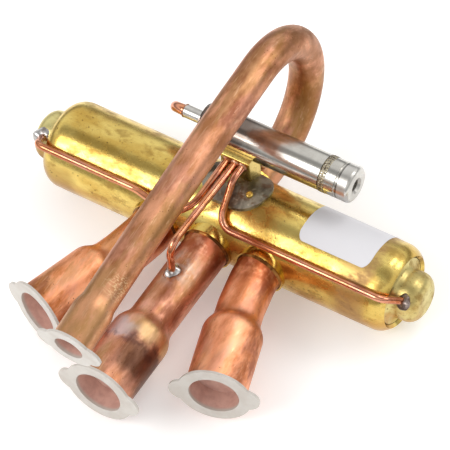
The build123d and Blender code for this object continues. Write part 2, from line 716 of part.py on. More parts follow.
# ---- steel stub at the closed end, which the discharge capillary is brazed in -
with BuildPart() as pilot_stub:
    stub_out = pilot_left - stub_steel_len
    with BuildSketch(Plane.YZ.offset(stub_out)):
        with Locations((pilot_y, pilot_z)):
            ring(discharge_cap_od / 2 + stub_steel_wall, discharge_cap_od / 2)
    extrude(amount=stub_steel_len)
    with BuildSketch(Plane.YZ.offset(pilot_left)):
        with Locations((pilot_y, pilot_z)):
            ring(discharge_cap_od / 2, discharge_cap_od / 2 - discharge_cap_wall)
    extrude(amount=3.0)
    with BuildSketch(Plane.YZ.offset(pilot_left)):
        with Locations((pilot_y, pilot_z)):
            ring(discharge_cap_od / 2, discharge_cap_od / 2 - discharge_cap_wall)
    extrude(amount=-stub_steel_len + stub_socket)
export(pilot_stub.part, "pilot_end_stub")

# ---- bracket: pressed steel saddle brazed to the body under the pilot ---------
with BuildPart() as pilot_bracket:
    with BuildSketch(Plane.YZ.offset(saddle_left)):
        ring(body_r + saddle_t, body_r)
        with Locations((0, -body_r)):
            Rectangle(3 * body_od, body_od, mode=Mode.SUBTRACT)
    extrude(amount=saddle_right - saddle_left)
    mid_x, mid_y = (saddle_left + saddle_right) / 2, (saddle_front + saddle_back) / 2
    with BuildSketch(Plane.XY):
        with Locations((mid_x, mid_y)):
            RectangleRounded(saddle_right - saddle_left, saddle_back - saddle_front, saddle_corner_r)
    extrude(amount=body_od, mode=Mode.INTERSECT)
    with BuildSketch(Plane.XY):
        with Locations((rivet_x, rivet_y)):
            Circle(rivet_d / 2)
    extrude(amount=body_od, mode=Mode.SUBTRACT)
export(pilot_bracket.part, "pilot_bracket")

with BuildPart() as rivet:
    with BuildSketch(Plane.XY):
        with Locations((rivet_x, rivet_y)):
            Circle(rivet_d / 2)
    extrude(amount=body_r + saddle_t + rivet_rise)
    with BuildSketch(Plane.YZ.offset(-body_od)):
        Circle(body_r)
    extrude(amount=2 * body_od, mode=Mode.SUBTRACT)
    fillet(rivet.edges().group_by(Axis.Z)[-1], radius=rivet_rise * 0.6)
export(rivet.part, "bracket_rivet")

# ---- label: a blank paper label on the body ----------------------------------
with BuildPart() as label:
    with BuildSketch(Plane.YZ.offset(label_x - label_len / 2)):
        ring(body_r + label_t, body_r)
    extrude(amount=label_len)
    span = radians(label_front_deg + label_back_deg)
    middle = radians((label_back_deg - label_front_deg) / 2)
    up = Vector(0, sin(middle), cos(middle))
    with BuildSketch(Plane(origin=(label_x, 0, 0), x_dir=(1, 0, 0), z_dir=up)):
        RectangleRounded(label_len, 2 * body_r * sin(span / 2), label_corner_r)
    extrude(amount=body_od, mode=Mode.INTERSECT)
export(label.part, "label")

# ---- transit plugs: thin polythene cups, pushed into the mouths ---------------


def plug(centre, along, r_in, r_out, depth):
    """A cup with a floor, a thin flange on the tube's mouth and two ears."""
    flange_r = r_out + plug_flange_over
    face = Plane(origin=centre + along * rest_gap, x_dir=along.cross(Vector(0, 0, 1)), z_dir=along)
    with BuildPart() as cup:
        with BuildSketch(face) as flange:
            Circle(flange_r)
            SlotOverall(2 * (flange_r + plug_ear), plug_ear_w)
        extrude(flange.sketch, amount=plug_flange_t)
        with BuildSketch(face) as outside:
            Circle(r_in - slip)
        extrude(outside.sketch, amount=-depth)
        with BuildSketch(face.offset(plug_flange_t)) as inside:
            Circle(r_in - slip - plug_wall)
        extrude(inside.sketch, amount=plug_wall - depth - plug_flange_t, mode=Mode.SUBTRACT)
    return cup.part


coil_outer = socket_r + stub_wall
tubes = [
    ("suction", mouth(suction_route_line, swage_len, socket_len), socket_r, coil_outer, plug_depth),
    ("coil_left", mouth(left_line, coil_swage_len, coil_socket_len), socket_r, coil_outer, plug_depth),
    ("coil_right", mouth(right_line, coil_swage_len, coil_socket_len), socket_r, coil_outer, plug_depth),
    ("discharge", (discharge_mouth, discharge_along), discharge_socket_id / 2,
     discharge_socket_id / 2 + discharge_wall, discharge_plug_depth),
]
for name, (centre, along), r_in, r_out, depth in tubes:
    export(plug(centre, along, r_in, r_out, depth), f"{name}_plug")
    print(name, "mouth", [round(v, 3) for v in centre], "axis", [round(v, 4) for v in along])
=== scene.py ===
"""Looks of a four way reversing valve: a brass barrel with copper stubs and a looped discharge
tube, a steel pilot valve on a saddle, four capillaries and four shipping plugs."""

import json

import bpy
import numpy as np
from mathutils import Matrix, Vector


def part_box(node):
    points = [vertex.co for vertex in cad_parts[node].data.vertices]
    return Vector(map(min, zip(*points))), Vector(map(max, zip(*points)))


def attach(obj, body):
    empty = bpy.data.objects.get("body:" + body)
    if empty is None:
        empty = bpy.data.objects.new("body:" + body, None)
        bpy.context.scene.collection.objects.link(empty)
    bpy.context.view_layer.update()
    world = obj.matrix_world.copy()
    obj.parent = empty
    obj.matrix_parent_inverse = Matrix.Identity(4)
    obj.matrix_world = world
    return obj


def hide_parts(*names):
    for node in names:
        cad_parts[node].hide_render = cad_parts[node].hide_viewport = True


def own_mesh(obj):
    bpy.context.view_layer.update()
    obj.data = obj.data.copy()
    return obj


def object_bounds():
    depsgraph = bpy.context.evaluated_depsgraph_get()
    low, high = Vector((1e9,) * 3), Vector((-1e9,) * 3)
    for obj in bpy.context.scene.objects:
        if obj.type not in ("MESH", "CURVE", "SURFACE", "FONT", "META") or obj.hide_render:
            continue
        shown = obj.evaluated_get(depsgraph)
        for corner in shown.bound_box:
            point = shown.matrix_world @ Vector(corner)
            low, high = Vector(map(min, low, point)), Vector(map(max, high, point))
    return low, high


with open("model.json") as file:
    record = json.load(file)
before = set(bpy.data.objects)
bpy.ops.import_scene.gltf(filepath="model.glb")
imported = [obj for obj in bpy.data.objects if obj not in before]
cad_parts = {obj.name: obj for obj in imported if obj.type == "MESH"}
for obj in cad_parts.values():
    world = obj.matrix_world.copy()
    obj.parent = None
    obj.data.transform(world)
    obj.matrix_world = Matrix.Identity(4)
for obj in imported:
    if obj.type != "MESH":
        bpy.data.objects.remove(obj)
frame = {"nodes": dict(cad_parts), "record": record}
cad_low, cad_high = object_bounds()


# ---- studio --------------------------------------------------------------------
# A white sweep under a light tent. One soft box stands by the camera, one hangs
# overhead and one stands behind at the right. Metal also shows the dark gap above
# the front box and the dark room past the sweep, which draws its outlines.
MM = 0.001


class Flow:
    """A shader output that arithmetic works on: an expression adds the Math nodes that it needs."""

    def __init__(self, finish, socket):
        self.finish, self.socket = finish, socket

    def maths(self, operation, *values):
        return self.finish.node("ShaderNodeMath", {"operation": operation}, dict(enumerate(values)))

    def __add__(self, other):
        return self.maths("ADD", self, other)

    def __radd__(self, other):
        return self.maths("ADD", other, self)

    def __sub__(self, other):
        return self.maths("SUBTRACT", self, other)

    def __rsub__(self, other):
        return self.maths("SUBTRACT", other, self)

    def __mul__(self, other):
        return self.maths("MULTIPLY", self, other)

    def __rmul__(self, other):
        return self.maths("MULTIPLY", other, self)

    def __truediv__(self, other):
        return self.maths("DIVIDE", self, other)

    def __pow__(self, other):
        return self.maths("POWER", self, other)

    def ramp(self, low, high):
        """0 below low and 1 above high, smoothly; the other way round where low is the higher."""
        limits = {"From Min": min(low, high), "From Max": max(low, high), "Value": self}
        rise = self.finish.node("ShaderNodeMapRange", {"interpolation_type": "SMOOTHSTEP"}, limits)
        return rise if low < high else 1 - rise

    def band(self, start, full, fade, end, unit=1.0):
        """1 from full to fade, falling smoothly to 0 at start before them and at end after."""
        return self.ramp(start * unit, full * unit) * self.ramp(end * unit, fade * unit)


class Finish:
    """A material, or the world, being made; node() adds any node to it and returns one output."""

    def __init__(self, name, owner=None):
        self.owner = owner or bpy.data.materials.new(name)
        self.owner.use_nodes = True
        self.tree = self.owner.node_tree
        self.main = next(node for node in self.tree.nodes if not node.type.startswith("OUTPUT"))

    def node(self, kind, settings=None, inputs=None, output=0):
        made = self.tree.nodes.new(kind)
        for name, value in (settings or {}).items():
            setattr(made, name, value)
        self.fill(made, inputs or {})
        return Flow(self, made.outputs[output])

    def fill(self, node, inputs):
        """Links or sets a node's sockets."""
        for name, value in inputs.items():
            if isinstance(value, Flow):
                self.tree.links.new(value.socket, node.inputs[name])
            else:
                node.inputs[name].default_value = value

    def surface(self, **inputs):
        """Fills the main shader's sockets; Base_Color stands for Base Color."""
        self.fill(self.main, {name.replace("_", " "): value for name, value in inputs.items()})
        return self.owner

    def place(self, output=""):
        """Object coordinates, or one of them: X, Y or Z, in metres."""
        spot = self.node("ShaderNodeTexCoord", output="Object")
        if output:
            spot = self.node("ShaderNodeSeparateXYZ", inputs={0: spot}, output=output)
        return spot

    def away_from(self, *point):
        """The distance, in metres, from a point given in millimetres."""
        ends = {0: self.place(), 1: [value * MM for value in point]}
        return self.node("ShaderNodeVectorMath", {"operation": "DISTANCE"}, ends, "Value")

    def noise(self, size, detail=3.0, stretch=(1, 1, 1), roughness=0.55, shift=0.0):
        """Cloudy noise, near 0.5 on average, with lumps about size millimetres across."""
        scale = {0: self.place(), 1: [1 / (size * MM * s) for s in stretch], 2: [shift] * 3}
        spot = self.node("ShaderNodeVectorMath", {"operation": "MULTIPLY_ADD"}, scale)
        return self.node("ShaderNodeTexNoise", {}, {"Vector": spot, "Scale": 1.0, "Detail": detail,
                                                    "Roughness": roughness})

    def specks(self, size, reach):
        """1 in the middle of scattered round specks, one to each cell of that many millimetres."""
        cells = {"Vector": self.place(), "Scale": 1 / (size * MM)}
        return self.node("ShaderNodeTexVoronoi", {}, cells).ramp(reach, reach * 0.4)

    def mix(self, amount, first, second):
        """The first colour where amount is 0 and the second where it is 1."""
        colours = {0: amount, 6: first, 7: second}
        return self.node("ShaderNodeMix", {"data_type": "RGBA"}, colours, 2)

    def bump(self, height, strength, distance=0.2 * MM):
        """A normal tilted as if the surface stood out by height times distance."""
        return self.node("ShaderNodeBump", {}, {"Height": height, "Strength": strength,
                                                "Distance": distance})


def tone(code):
    """A display colour such as c08040 as linear red, green, blue and alpha."""
    shown = np.array([int(code[at:at + 2], 16) for at in (0, 2, 4)]) / 255
    linear = np.where(shown <= 0.04045, shown / 12.92, ((shown + 0.055) / 1.055) ** 2.4)
    return (*linear, 1.0)


def upright(azimuth, elevation, roll=0.0):
    """Right, up and back directions of a camera or lamp, in degrees; azimuth 0 looks along +Y."""
    a, e, r = np.radians((azimuth, elevation, roll))
    back = np.array([np.sin(a) * np.cos(e), -np.cos(a) * np.cos(e), np.sin(e)])
    level = np.array([np.cos(a), np.sin(a), 0.0])
    over = np.cross(back, level)
    return level * np.cos(r) + over * np.sin(r), over * np.cos(r) - level * np.sin(r), back


def stand(thing, aim, distance, azimuth, elevation, roll=0.0):
    """Stands a camera or lamp at that distance from aim, looking at it."""
    right, up, back = upright(azimuth, elevation, roll)
    turn = Matrix(np.column_stack([right, up, back]).tolist()).to_4x4()
    thing.matrix_world = Matrix.Translation(Vector(np.array(aim) + back * distance)) @ turn
    bpy.context.scene.collection.objects.link(thing)
    return thing


camera = bpy.data.objects.new("camera", bpy.data.cameras.new("camera"))
camera.data.lens, camera.data.sensor_width, camera.data.clip_end = 434.87, 36.0, 20.0
stand(camera, aim=(-0.00085, -0.0043, -0.0023), distance=2.1505, azimuth=37.38, elevation=52.44,
      roll=-6.95)
bpy.context.scene.camera = camera
bpy.context.scene.view_settings.view_transform = "Standard"

soft_boxes = [  # name, azimuth, elevation, distance, width, height, watts
    ("box_front", -28.0, 43.0, 1.1, 0.75, 0.50, 3.6),
    ("strip_front", -28.0, 37.0, 1.0, 0.70, 0.07, 1.3),
    ("box_top", 153.0, 56.0, 1.2, 0.35, 0.45, 1.8),
    ("box_right", 127.0, 33.0, 1.3, 0.35, 0.50, 1.8),
]
for name, azimuth, elevation, distance, width, height, watts in soft_boxes:
    lamp = bpy.data.lights.new(name, "AREA")
    lamp.shape, lamp.size, lamp.size_y, lamp.energy = "RECTANGLE", width, height, watts
    box = stand(bpy.data.objects.new(name, lamp), (0, -0.02, 0.01), distance, azimuth, elevation)
    box.visible_camera = False

world = bpy.data.worlds.new("studio")
bpy.context.scene.world = world
tent = Finish("studio", world)
way = tent.node("ShaderNodeTexCoord", output="Generated")
ahead = tent.node("ShaderNodeSeparateXYZ", inputs={0: way}, output="Y")
height = tent.node("ShaderNodeSeparateXYZ", inputs={0: way}, output="Z")
slope = ahead / height.maths("MAXIMUM", height, 0.01)
gap = slope.band(-0.62, -0.42, -0.04, 0.20) * height.ramp(0.5, 0.7)
low_down = height.ramp(0.40, 0.05)
mirror_ray = tent.node("ShaderNodeLightPath", output="Is Glossy Ray")
level = (0.96 - 0.56 * gap) * (1 - (0.20 + 0.45 * mirror_ray) * low_down)
sight = tent.node("ShaderNodeLightPath", output="Is Camera Ray")
tent.fill(tent.main, {"Color": (1.0, 1.0, 1.0, 1.0), "Strength": sight + (1 - sight) * level})

floor_mesh = bpy.data.meshes.new("floor")
half, ground = 3.0, cad_low.z - 0.05 * MM
floor_mesh.from_pydata([(-half, -half, ground), (half, -half, ground), (half, half, ground),
                        (-half, half, ground)], [], [(0, 1, 2, 3)])
floor = bpy.data.objects.new("floor", floor_mesh)
bpy.context.scene.collection.objects.link(floor)
paper = Finish("floor")
mirrored = paper.node("ShaderNodeLightPath", output="Is Glossy Ray")
edge = mirrored * paper.away_from(0, 0, 0).ramp(0.20, 0.55) * 0.75
floor_mesh.materials.append(paper.surface(
    Base_Color=paper.mix(edge, tone("f2f2f1"), (0.02, 0.02, 0.02, 1.0)), Roughness=0.9,
    Emission_Color=paper.mix(edge, (1.0, 1.0, 1.0, 1.0), (0.0, 0.0, 0.0, 1.0)),
    Specular_IOR_Level=0.0, Emission_Strength=0.26))


# ---- barrel --------------------------------------------------------------------
# Drawn brass tube, its two ends rolled in over pressed brass caps. It has been
# through the brazing furnace, so it is mottled brown, most of all by the ports.
nodes = frame["nodes"]


def dress(finish, *names):
    """Gives CAD nodes a finish."""
    for name in names:
        for spot in nodes[name].material_slots:
            spot.material = finish


def brass(name, stain, polish, light="ead079", dark="bf963f"):
    """Mottled brass: stain is how far it has browned, polish how smooth it is.

    It is redder below and in front, pinkish on the right shoulder and brown under the left end.
    """
    made = Finish(name)
    cloud = made.noise(16.0, 5.0, (1.6, 1.0, 1.0), 0.62).ramp(0.36, 0.66)
    patch = made.noise(8.0, 6.0, (1.6, 1.0, 1.0), 0.68, 3.0).ramp(0.50, 0.66)
    under = made.place("Z").ramp(12 * MM, -6 * MM) * made.place("Y").ramp(2 * MM, -12 * MM)
    heat = under * made.noise(13.0, 5.0, (2.0, 1.0, 1.0), 0.65, 7.0).ramp(0.36, 0.58)
    along = made.place("X") + (made.noise(7.0, 3.0, shift=4.0) - 0.5) * (7 * MM)
    shoulder = along.band(53, 62, 68, 73, MM)
    far_end = along.ramp(-60 * MM, -66 * MM) * under.ramp(0.0, 0.4)
    pits = made.specks(2.6, 0.17) * made.noise(12.0, 2.0, shift=5.0).ramp(0.48, 0.58)
    freckles = made.noise(1.1, 2.0, shift=8.0).ramp(0.60, 0.72) * cloud
    colour = made.mix(cloud * 0.8, tone(light), tone(dark))
    colour = made.mix(patch * stain, colour, tone("8f6a30"))
    colour = made.mix(heat * 0.62, colour, tone("bd7f34"))
    colour = made.mix(shoulder * (0.60 + 0.3 * patch), colour, tone("b08c60"))
    colour = made.mix(far_end * 0.5, colour, tone("9a6f3c"))
    colour = made.mix(freckles * 0.45, colour, tone("7a5526"))
    colour = made.mix(pits * 0.8, colour, tone("5a3c18"))
    rough = polish + 0.20 * patch + 0.10 * made.noise(3.0, 2.0) + 0.18 * shoulder
    lumps = made.noise(6.0, 4.0) + 0.30 * made.noise(1.0, 3.0)
    return made.surface(Base_Color=colour, Metallic=1.0, Roughness=rough,
                        Normal=made.bump(lumps, 0.42))


dress(brass("barrel_brass", stain=0.60, polish=0.17), "body_tube")
dress(brass("cap_brass", 0.60, 0.30, "e2d694", "bfa866"), "end_cap_left", "end_cap_right")
dress(brass("turned_brass", stain=0.30, polish=0.20), "valve_seat", "pilot_seat", "bracket_rivet")


# ---- copper stubs and discharge tube -------------------------------------------
# Drawn copper, brazed into necks pulled out of the barrel, the free ends swaged
# to sockets. The torch has left them orange, pink, olive and brown, with dark roots.
def copper(name, clean, stained, root=None, grain=(1, 3, 1), rough=0.40, olive=0.3):
    """Copper with long stains along the tube, as its finish and its colour so far.

    grain is how far the stains stretch along X, Y and Z; root is a mask of the end that the
    torch has darkened; olive is how strong the green stains are.
    """
    made = Finish(name)
    cloud = made.noise(8.0, 6.0, grain, 0.68, 1.0).ramp(0.38, 0.62)
    pink = made.noise(8.0, 4.0, grain, 0.6, 11.0).ramp(0.50, 0.62)
    green = made.noise(10.0, 5.0, grain, 0.62, 14.0).ramp(0.50, 0.62)
    streak = made.noise(3.4, 4.0, tuple(3 * g for g in grain), 0.66, 4.0).ramp(0.50, 0.68)
    scuff = made.noise(0.9, 3.0, tuple(g ** 2 for g in grain), 0.6, 6.0).ramp(0.56, 0.70)
    dots = made.specks(2.0, 0.16) * made.noise(10.0, 2.0, shift=9.0).ramp(0.48, 0.60)
    colour = made.mix(cloud, tone(clean), tone(stained))
    colour = made.mix(pink * 0.4, colour, tone("dfa08c"))
    colour = made.mix(green * olive, colour, tone("a5854c"))
    colour = made.mix(streak * 0.55, colour, tone("84452b"))
    colour = made.mix(scuff * 0.22, colour, tone("ffd4b2"))
    if root is not None:
        burnt = root(made) * made.noise(4.0, 4.0, shift=2.0).ramp(0.30, 0.56)
        colour = made.mix(burnt * 0.75, colour, tone("9a4420"))
    colour = made.mix(dots * 0.7, colour, tone("4c2415"))
    lumps = made.noise(6.0, 3.0, grain) + 0.25 * made.noise(0.9, 3.0)
    made.surface(Metallic=1.0, Roughness=rough + 0.16 * streak - 0.08 * scuff,
                 Normal=made.bump(lumps, 0.38))
    return made, colour


def front_root(made):
    """1 on the first few millimetres of a front stub, next to the barrel."""
    return made.place("Y").ramp(-36 * MM, -23 * MM)


def swage_ring(made, start):
    """1 on the brown band where the swaged part begins, at start millimetres along Y."""
    at = made.place("Y") + (made.noise(5.0, 3.0, shift=12.0) - 0.5) * (6 * MM)
    return at.band(start - 4, start, start, start + 4, MM)


right, colour = copper("coil_copper_right", "ffb48a", "d98a5c", front_root, olive=0.15)
colour = right.mix(swage_ring(right, -45) * 0.35, colour, tone("8a5030"))
dress(right.surface(Base_Color=colour), "coil_tube_right")
left, colour = copper("coil_copper_left", "ffb284", "d4834e", front_root, olive=0.3)
colour = left.mix(swage_ring(left, -46) * 0.6, colour, tone("8a4a30"))
dress(left.surface(Base_Color=colour), "coil_tube_left")

# The suction stub is bright round the capillary's solder. Its socket has gone gold,
# then pale and violet, and black with soot at one side, where the flame was held.
suction, colour = copper("suction_copper", "e6a98c", "b87c58", front_root, olive=0.35)
across = suction.place("X")
along = suction.place("Y") + (suction.noise(8.0, 4.0, shift=6.0) - 0.5) * (13 * MM)
near_tap = suction.away_from(-1.6, -38.0, 9.4).ramp(12 * MM, 3 * MM)
silver = near_tap * suction.noise(4.0, 4.0, shift=3.0).ramp(0.38, 0.56)
gold = along.band(-75, -71, -68, -62, MM) * across.ramp(-5 * MM, 3 * MM)
pale = along.band(-79, -75, -71, -67, MM) * across.ramp(6 * MM, -1 * MM)
violet = along.band(-81, -78, -76, -73, MM) * suction.noise(6.0, 3.0, shift=13.0).ramp(0.40, 0.56)
soot = along.band(-97, -86, -76, -71, MM) * across.ramp(0, 4 * MM)
colour = suction.mix(silver * 0.6, colour, tone("b9aca2"))
colour = suction.mix(gold * 0.35, colour, tone("ddcf8e"))
colour = suction.mix(pale * 0.45, colour, tone("c9c9d2"))
colour = suction.mix(violet * 0.50, colour, tone("5a3a4c"))
colour = suction.mix(soot * 0.8, colour, tone("4a3226"))
dress(suction.surface(Base_Color=colour), "suction_tube")

# The discharge tube is browner behind, rubbed bright where it was gripped to be
# swaged, and duller at its mouth.
discharge, colour = copper("discharge_copper", "e0a07c", "b37a52", grain=(1, 3, 2), rough=0.42,
                           olive=0.45)
behind = discharge.place("Y").ramp(5 * MM, 45 * MM)
brown = discharge.noise(9.0, 5.0, (1, 2, 2), 0.64, 8.0).ramp(0.40, 0.58)
grip = discharge.away_from(6, -84, 54).ramp(8 * MM, 3 * MM)
rubbed = grip * discharge.noise(0.7, 2.0, (8, 1, 1), 0.6, 3.0).ramp(0.48, 0.62)
mouth = discharge.place("Y").ramp(-78 * MM, -92 * MM)
colour = discharge.mix(brown * (0.22 + 0.4 * behind), colour, tone("8c5c34"))
colour = discharge.mix(rubbed * 0.45, colour, tone("ffe0b0"))
colour = discharge.mix(mouth * 0.3, colour, tone("b08a58"))
dress(discharge.surface(Base_Color=colour), "discharge_tube")


# ---- pistons and slides --------------------------------------------------------
# The link plate, the pistons' plates, retainers and screws, the leaf spring and the
# pilot's carrier are stamped or turned steel. The slides and the pistons' lip seals
# are moulded in pale filled plastic. All go in before the caps are rolled over.
def steel(name, light, dark, rough):
    """Steel with fine marks round the X axis from turning, as its finish and its colour so far."""
    made = Finish(name)
    turned = made.noise(1.2, 2.0, (1, 30, 30))
    cloud = made.noise(10.0, 5.0, shift=2.0, roughness=0.6).ramp(0.40, 0.66)
    made.surface(Metallic=1.0, Roughness=rough + 0.08 * turned + 0.06 * cloud,
                 Normal=made.bump(turned, 0.06))
    return made, made.mix(cloud * 0.5, tone(light), tone(dark))


def plastic(name, code, rough):
    """Moulded plastic, faintly clouded with grey."""
    made = Finish(name)
    shade = made.noise(8.0, 2.0)
    colour = made.mix(shade * 0.3, tone(code), tone("8c8a84"))
    return made.surface(Base_Color=colour, Roughness=rough + 0.1 * shade)


plain, colour = steel("plain_steel", "b5b3af", "8f8c87", 0.30)
plain_steel = plain.surface(Base_Color=colour)
dress(plain_steel, "slide_frame", "piston_plate_left", "piston_plate_right",
      "piston_retainer_left", "piston_retainer_right", "piston_screws", "slide_spring",
      "pilot_carrier")
dress(plastic("slide_plastic", "d8cfae", 0.35), "main_slide", "pilot_slide")
dress(plastic("seal_plastic", "dedcd6", 0.40), "piston_seal_left", "piston_seal_right")


# ---- bracket -------------------------------------------------------------------
# A pressed steel saddle, brazed to the barrel under the pilot's block and left
# dark and streaked by the flux.
flux = Finish("bracket_flux")
cloud = flux.noise(5.0, 5.0, (1, 2, 1), 0.62).ramp(0.38, 0.62)
rust = flux.noise(4.0, 4.0, shift=3.0).ramp(0.52, 0.66)
glaze = flux.noise(2.2, 4.0, shift=9.0).ramp(0.58, 0.68)
colour = flux.mix(cloud, tone("6e6a60"), tone("aaa594"))
colour = flux.mix(rust * 0.6, colour, tone("7c5632"))
colour = flux.mix(glaze * 0.6, colour, tone("d2cdb8"))
dress(flux.surface(Base_Color=colour, Metallic=0.8, Roughness=0.30 + 0.25 * cloud,
                   Normal=flux.bump(flux.noise(1.5, 4.0), 0.5)), "pilot_bracket")


# ---- capillaries ---------------------------------------------------------------
# Thin soft-drawn copper, bent by hand. One leads from each end of the barrel and
# one from the suction stub to the pilot's block; a thicker one feeds its far end.
fine, colour = copper("capillary_copper", "e29a72", "b46a46", grain=(3, 1, 1), rough=0.17,
                      olive=0.1)
dress(fine.surface(Base_Color=colour), "capillary_left", "capillary_right", "capillary_suction",
      "capillary_discharge")


# ---- brazing and solder --------------------------------------------------------
# Each joint keeps a collar of filler metal: bronze at the four tube roots, silver
# solder where a capillary goes in. It has run unevenly and is clouded where it set.
def filler(name, light, dark, rough):
    """Filler metal that has run and set, clouded by its own oxide."""
    made = Finish(name)
    cloud = made.noise(3.5, 4.0, shift=2.0).ramp(0.36, 0.62)
    colour = made.mix(cloud, tone(light), tone(dark))
    return made.surface(Base_Color=colour, Metallic=1.0, Roughness=rough + 0.2 * cloud,
                        Normal=made.bump(made.noise(1.4, 2.0), 0.12))


def cover(name, points, faces, finish, slot):
    """A smooth mesh of those points, in millimetres, and faces, fixed to the valve's body."""
    mesh = bpy.data.meshes.new(name)
    mesh.from_pydata((points * MM).tolist(), [], faces)
    mesh.polygons.foreach_set("use_smooth", np.ones(len(mesh.polygons), bool))
    mesh.materials.append(finish)
    piece = bpy.data.objects.new(name, mesh)
    bpy.context.scene.collection.objects.link(piece)
    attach(piece, "valve_body")
    return piece


def carry_round(name, centre, axis, section, finish, slot, around=96, steps=20,
                drum_line=(0, 0, 1)):
    """A closed section carried round an axis, in millimetres.

    section(turn, loop) gives two arrays, the radius from the axis and the distance along it;
    turn runs 0 to 2 pi round the axis and loop 0 to 2 pi round the section. A point is
    centre + distance * axis + radius * (cos turn * side + sin turn * over), with side square to
    drum_line, the line of the tube that the section sits on.
    """
    turn, loop = np.meshgrid(np.arange(around) * 2 * np.pi / around,
                             np.arange(steps) * 2 * np.pi / steps, indexing="ij")
    radius, distance = section(turn, loop)
    ahead = np.array(axis, float) / np.linalg.norm(axis)
    side = np.cross(drum_line, ahead) / np.linalg.norm(np.cross(drum_line, ahead))
    over = np.cross(ahead, side)
    spoke = np.cos(turn)[..., None] * side + np.sin(turn)[..., None] * over
    points = np.array(centre) + distance[..., None] * ahead + radius[..., None] * spoke
    spot = np.arange(around * steps).reshape(around, steps)
    after, beside = np.roll(spot, -1, 0), np.roll(spot, -1, 1)
    faces = np.stack([spot, after, np.roll(after, -1, 1), beside], -1).reshape(-1, 4)
    return cover(name, points.reshape(-1, 3), faces.tolist(), finish, slot)


def bead(inner, spread, rise, hollow, seed, drum=0.0, lean=0.0):
    """The section of a bead of filler round a tube of radius inner.

    The half above the metal goes from inner + spread out on the surface to rise up the tube:
    spread * cos ** hollow and rise * sin ** hollow, where 1 is a round bead and 3 a sunk one.
    The spread and rise wander with three waves round the tube. drum is the radius of the surface
    that it lies on, which falls away by across ** 2 / (2 * drum), and is 0 where that is flat;
    lean shifts the bead to one side.
    """
    phase = np.random.default_rng(seed).uniform(0, 2 * np.pi, 4)

    def section(turn, loop):
        wander = 1 + (0.14 * np.sin(2 * turn + phase[0]) + 0.10 * np.sin(3 * turn + phase[1])
                      + 0.03 * np.sin(7 * turn + phase[2]) + lean * np.cos(turn + phase[3]))
        out, up = np.cos(loop), np.sin(loop)
        out, up = out * np.abs(out) ** (hollow - 1), up * np.abs(up) ** (hollow - 1)
        radius = inner - 0.15 + (spread + 0.15) * wander * np.where(out > 0, out, 0.1 * out)
        distance = rise * wander * np.where(up > 0, up, 0.35 * up)
        if drum:
            distance = distance - (radius * np.cos(turn)) ** 2 / (2 * drum)
        return radius, distance
    return section


bronze = filler("braze_bronze", "9a6a38", "5e3a1c", 0.40)
silver_bright = filler("solder_bright", "dcd9d6", "8e8580", 0.22)
silver_dull = filler("solder_dull", "a79890", "5c4a42", 0.36)
silver_copper = filler("solder_on_copper", "cfa184", "8a5236", 0.30)

stub_r, discharge_r, collar_face = 9.525, 7.145, 19.15
for name, at, seed in (("left", -24.3, 11), ("suction", 0.0, 12), ("right", 24.3, 13)):
    carry_round("braze_" + name, (at, -collar_face, 0), (0, -1, 0),
                bead(stub_r, spread=0.7, rise=0.9, hollow=1.6, seed=seed), bronze, "brass_body")
carry_round("braze_discharge", (0, collar_face, 0), (0, 1, 0),
            bead(discharge_r, spread=0.7, rise=0.9, hollow=1.6, seed=21), bronze, "brass_body")

# The capillary into the suction stub leans to the left; the one into the discharge
# tube stands upright.
capillary_r, thick_r = 1.5, 2.2
carry_round("solder_suction_tap", (-1.6, -40.6, 9.5), (-0.17, 0, 0.985),
            bead(capillary_r, spread=2.0, rise=1.6, hollow=1.3, seed=31, drum=stub_r, lean=0.1),
            silver_bright, "steel", drum_line=(0, 1, 0))
carry_round("solder_discharge_tap", (0, 23.68, discharge_r), (0, 0, 1),
            bead(thick_r, spread=1.0, rise=1.3, hollow=1.3, seed=41, drum=discharge_r),
            silver_copper, "steel", drum_line=(0, 1, 0))

# A capillary goes into each cap's boss at its entry, straight from its last bend.
boss_r = 10.4
entry_right, bend_right = np.array([84.7, -7.07, 6.04]), np.array([78.7, -15.6, 13.3])
entry_left, bend_left = np.array([-84.7, -7.07, 6.04]), np.array([-80.7, -15.6, 13.3])
carry_round("solder_cap_right", entry_right + 0.10 * (bend_right - entry_right),
            bend_right - entry_right,
            bead(capillary_r, spread=2.3, rise=1.6, hollow=1.2, seed=52, drum=boss_r, lean=0.25),
            silver_dull, "steel", drum_line=(1, 0, 0))
carry_round("solder_cap_left", entry_left + (0.9, 0.0, 0.4), bend_left - entry_left,
            bead(capillary_r, spread=2.7, rise=1.2, hollow=1.2, seed=63, drum=boss_r, lean=0.2),
            silver_bright, "steel", drum_line=(1, 0, 0))

# Three capillaries go into the front of the pilot's block, the thick one into its end stub.
block_face, block_height = 5.6, 26.6
pilot_y, pilot_z, end_stub = 16.4, 30.6, -29.0
for name, at, seed in (("left", -3.5, 67), ("middle", 0.0, 70), ("right", 3.5, 73)):
    carry_round("solder_block_" + name, (at, block_face, block_height), (0, -1, 0),
                bead(capillary_r, spread=0.7, rise=0.8, hollow=2.0, seed=seed), silver_copper,
                "steel", around=48, steps=12)
carry_round("solder_pilot_stub", (end_stub, pilot_y, pilot_z), (-1, 0, 0),
            bead(thick_r, spread=0.6, rise=0.9, hollow=1.5, seed=81), silver_copper, "steel",
            around=64, steps=12)


